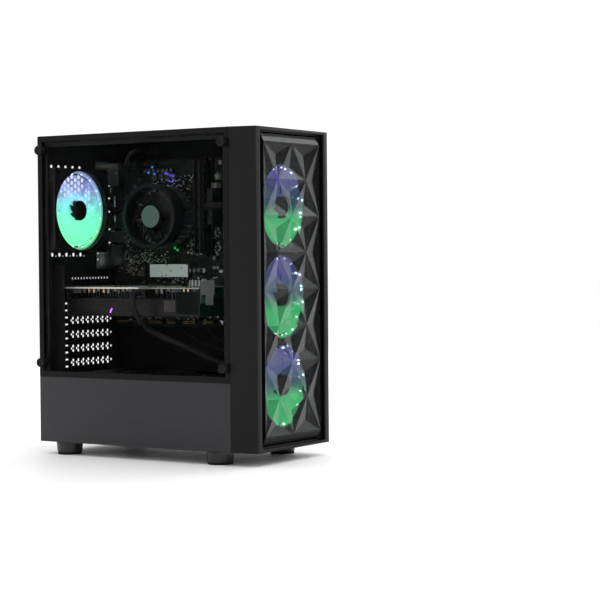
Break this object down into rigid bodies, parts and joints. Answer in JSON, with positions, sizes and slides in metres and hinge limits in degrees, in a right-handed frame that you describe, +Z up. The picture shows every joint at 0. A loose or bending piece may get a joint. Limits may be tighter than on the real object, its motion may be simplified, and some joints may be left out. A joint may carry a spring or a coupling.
{
  "type": "desktop computer tower",
  "caption": "Upright computer case with a glass side, faceted smoked front, lit fans, and the board, card, cooler and supply it holds.",
  "frame": {"origin": "on the floor, under the middle of the box that holds the whole tower", "axes": "+Z up, +Y towards the rear wall, +X towards the steel side; the glass is at -X and the faceted front at -Y"},
  "size_m": [0.201, 0.377, 0.45],
  "materials": {
    "black_steel": "satin powder coat",
    "charcoal_steel": "satin powder coat",
    "black_plastic": "fine moulded grain",
    "mesh_black": "satin",
    "smoked_panel": "gloss",
    "tinted_glass": "clear",
    "rubber": "matte",
    "knob_black": "satin",
    "foot_plastic": "satin",
    "button_plastic": "satin",
    "fan_black": "satin",
    "fan_clear": "translucent",
    "fan_light": "lit diffuser",
    "dark_rotor": "satin",
    "screw_steel": "zinc",
    "circuit_board": "solder mask",
    "bare_aluminium": "milled",
    "port_metal": "plated",
    "socket_plastic": "moulded",
    "memory_chip": "epoxy",
    "drive_label": "paper label",
    "card_plastic": "satin",
    "psu_steel": "fine texture",
    "drive_metal": "cast",
    "cable_sleeve": "braided sleeve"
  },
  "bodies": {
    "chassis": {"base_pan": "black_steel", "top_panel": "black_steel", "rear_panel": "black_steel", "front_wall": "black_steel", "board_tray": "black_steel", "window_frame": "black_steel", "psu_shroud": "black_steel", "lower_side_panel": "charcoal_steel", "feet": "foot_plastic", "foot_pads": "rubber", "front_ports": "black_plastic", "front_fan_frames": "fan_black", "rear_fan_frame": "fan_black", "light_rings": "fan_light", "screws": "screw_steel", "motherboard": "circuit_board", "board_heatsink": "bare_aluminium", "rear_ports": "port_metal", "board_sockets": "socket_plastic", "memory_modules": "memory_chip", "solid_state_drive": "drive_label", "cooler_heatsink": "bare_aluminium", "cooler_fan_frame": "fan_black", "card_bracket": "port_metal", "card_board": "circuit_board", "card_heatsink": "bare_aluminium", "card_shroud": "card_plastic", "slot_covers": "black_steel", "psu_case": "psu_steel", "psu_inlet": "socket_plastic", "drive_cage": "black_steel", "hard_drive": "drive_metal", "fan_hub": "black_plastic", "board_power_cables": "cable_sleeve", "card_power_cable": "cable_sleeve", "thin_leads": "cable_sleeve"},
    "glass": {"glass_panel": "tinted_glass", "glass_bushes": "rubber"},
    "glass_screw_a": {"glass_screw_rear_top": "knob_black"},
    "glass_screw_b": {"glass_screw_rear_low": "knob_black"},
    "glass_screw_c": {"glass_screw_front_top": "knob_black"},
    "glass_screw_d": {"glass_screw_front_low": "knob_black"},
    "side_panel": {"right_side_panel": "black_steel"},
    "side_screw_a": {"side_screw_upper": "knob_black"},
    "side_screw_b": {"side_screw_lower": "knob_black"},
    "bezel": {"front_bezel": "black_plastic", "bezel_mesh": "mesh_black", "facet_panel": "smoked_panel"},
    "power_key": {"power_button": "button_plastic"},
    "reset_key": {"reset_button": "button_plastic"},
    "dust_filter": {"psu_filter": "black_plastic"},
    "front_fan_a": {"front_rotor_top": "fan_clear"},
    "front_fan_b": {"front_rotor_middle": "fan_clear"},
    "front_fan_c": {"front_rotor_low": "fan_clear"},
    "rear_fan": {"rear_rotor": "fan_clear"},
    "cooler_fan": {"cooler_rotor": "dark_rotor"},
    "card_fan_a": {"card_rotor_rear": "dark_rotor"},
    "card_fan_b": {"card_rotor_front": "dark_rotor"},
    "psu_fan": {"psu_rotor": "dark_rotor"},
    "mains_switch": {"psu_switch": "socket_plastic"}
  },
  "joints": [
    {"name": "glass_off", "type": "slide", "parent": "chassis", "child": "glass", "axis": [-1, 0, 0], "range_m": [0, 0.15]},
    {"name": "glass_screw_a_turn", "type": "hinge", "parent": "glass", "child": "glass_screw_a", "pos_m": [-0.0915, 0.1715, 0.43], "axis": [1, 0, 0], "continuous": true},
    {"name": "glass_screw_b_turn", "type": "hinge", "parent": "glass", "child": "glass_screw_b", "pos_m": [-0.0915, 0.1715, 0.1302], "axis": [1, 0, 0], "continuous": true},
    {"name": "glass_screw_c_turn", "type": "hinge", "parent": "glass", "child": "glass_screw_c", "pos_m": [-0.0915, -0.142, 0.43], "axis": [1, 0, 0], "continuous": true},
    {"name": "glass_screw_d_turn", "type": "hinge", "parent": "glass", "child": "glass_screw_d", "pos_m": [-0.0915, -0.142, 0.1302], "axis": [1, 0, 0], "continuous": true},
    {"name": "side_panel_slide", "type": "slide", "parent": "chassis", "child": "side_panel", "axis": [0, 1, 0], "range_m": [0, 0.02]},
    {"name": "side_screw_a_turn", "type": "hinge", "parent": "side_panel", "child": "side_screw_a", "pos_m": [0.0933, 0.1795, 0.404], "axis": [0, 1, 0], "continuous": true},
    {"name": "side_screw_b_turn", "type": "hinge", "parent": "side_panel", "child": "side_screw_b", "pos_m": [0.0933, 0.1795, 0.064], "axis": [0, 1, 0], "continuous": true},
    {"name": "bezel_pull", "type": "slide", "parent": "chassis", "child": "bezel", "axis": [0, -1, 0], "range_m": [0, 0.06]},
    {"name": "power_press", "type": "slide", "parent": "chassis", "child": "power_key", "axis": [0, 0, -1], "range_m": [0, 0.0015], "stiffness_N_per_m": 800, "springref_m": -0.0008},
    {"name": "reset_press", "type": "slide", "parent": "chassis", "child": "reset_key", "axis": [0, 0, -1], "range_m": [0, 0.0015], "stiffness_N_per_m": 800, "springref_m": -0.0008},
    {"name": "filter_slide", "type": "slide", "parent": "chassis", "child": "dust_filter", "axis": [0, 1, 0], "range_m": [0, 0.13]},
    {"name": "front_fan_a_spin", "type": "hinge", "parent": "chassis", "child": "front_fan_a", "pos_m": [0.0045, -0.1615, 0.346], "axis": [0, 1, 0], "continuous": true},
    {"name": "front_fan_b_spin", "type": "hinge", "parent": "chassis", "child": "front_fan_b", "pos_m": [0.0045, -0.1615, 0.224], "axis": [0, 1, 0], "continuous": true},
    {"name": "front_fan_c_spin", "type": "hinge", "parent": "chassis", "child": "front_fan_c", "pos_m": [0.0045, -0.1615, 0.102], "axis": [0, 1, 0], "continuous": true},
    {"name": "rear_fan_spin", "type": "hinge", "parent": "chassis", "child": "rear_fan", "pos_m": [-0.0253, 0.1655, 0.346], "axis": [0, 1, 0], "continuous": true},
    {"name": "cooler_fan_spin", "type": "hinge", "parent": "chassis", "child": "cooler_fan", "pos_m": [0.0245, 0.0645, 0.3365], "axis": [1, 0, 0], "continuous": true},
    {"name": "card_fan_a_spin", "type": "hinge", "parent": "chassis", "child": "card_fan_a", "pos_m": [0.0121, 0.1015, 0.20408], "axis": [0, 0, 1], "continuous": true},
    {"name": "card_fan_b_spin", "type": "hinge", "parent": "chassis", "child": "card_fan_b", "pos_m": [0.0121, 0.0015, 0.20408], "axis": [0, 0, 1], "continuous": true},
    {"name": "psu_fan_spin", "type": "hinge", "parent": "chassis", "child": "psu_fan", "pos_m": [-0.0005, 0.1085, 0.035], "axis": [0, 0, 1], "continuous": true},
    {"name": "mains_switch_rock", "type": "hinge", "parent": "chassis", "child": "mains_switch", "pos_m": [-0.0455, 0.175, 0.088], "axis": [0, 0, 1], "range_deg": [-4, 4]}
  ]
}
